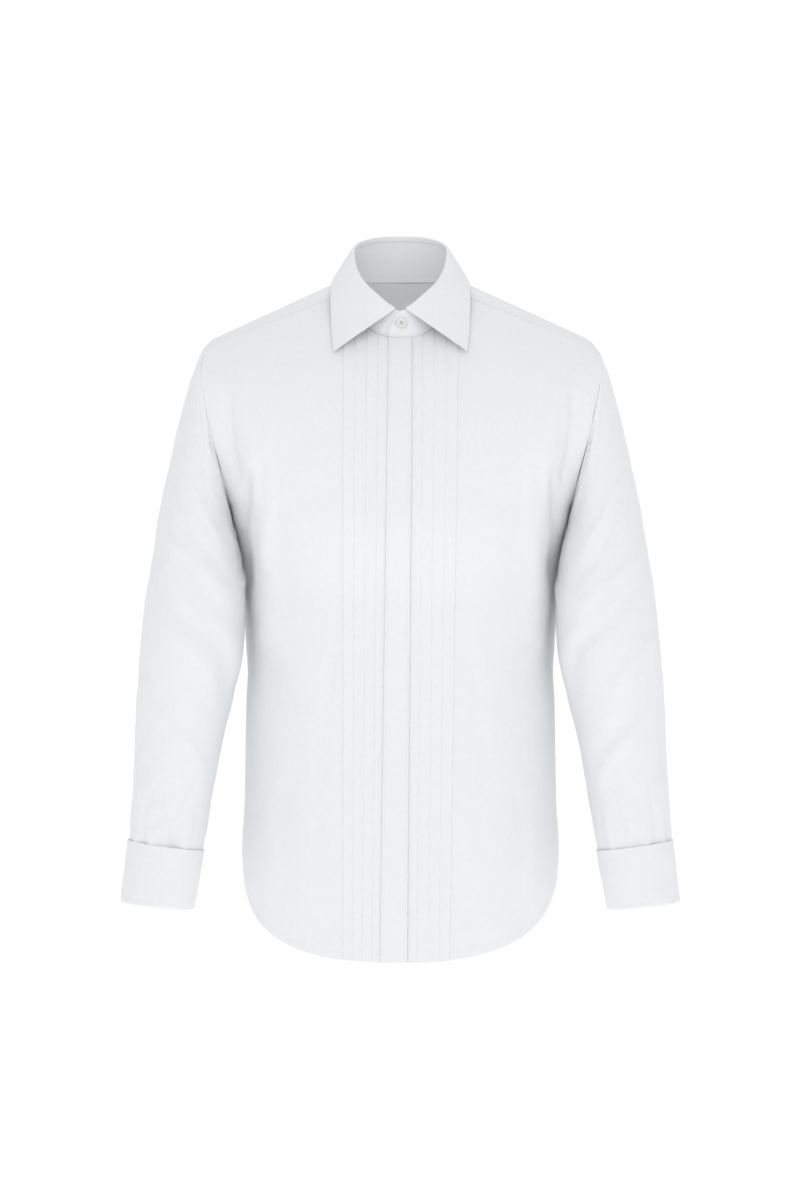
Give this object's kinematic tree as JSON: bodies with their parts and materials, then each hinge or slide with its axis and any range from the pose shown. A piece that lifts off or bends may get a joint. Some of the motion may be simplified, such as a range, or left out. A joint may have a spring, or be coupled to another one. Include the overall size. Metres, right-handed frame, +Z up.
{
  "type": "long sleeve dress shirt",
  "caption": "White long sleeve evening dress shirt with spread collar, pleated bib, covered fly front and double cuffs, hollow as if worn",
  "frame": {"origin": "the centre of the wearer's neck, level with the inner ends of the shoulders", "axes": "+Z up along the body, the front of the shirt faces -Y, the wearer's left is +X"},
  "size_m": [0.6228, 0.2492, 0.8219],
  "materials": {
    "white_cotton": "fine plain weave, matt",
    "collar_and_cuff_cotton": "fine plain weave over interlining, matt",
    "button_shell": "polished"
  },
  "bodies": {
    "root": {"front_right": "white_cotton", "front_left": "white_cotton", "back": "white_cotton", "yoke": "white_cotton", "sleeve_right": "white_cotton", "sleeve_left": "white_cotton", "sleeve_placket_right": "white_cotton", "sleeve_placket_left": "white_cotton", "fly_placket": "white_cotton", "bib_right": "white_cotton", "bib_left": "white_cotton", "cuff_right": "collar_and_cuff_cotton", "cuff_left": "collar_and_cuff_cotton", "collar_band": "collar_and_cuff_cotton", "collar_leaf": "collar_and_cuff_cotton", "collar_button": "button_shell"}
  },
  "joints": []
}
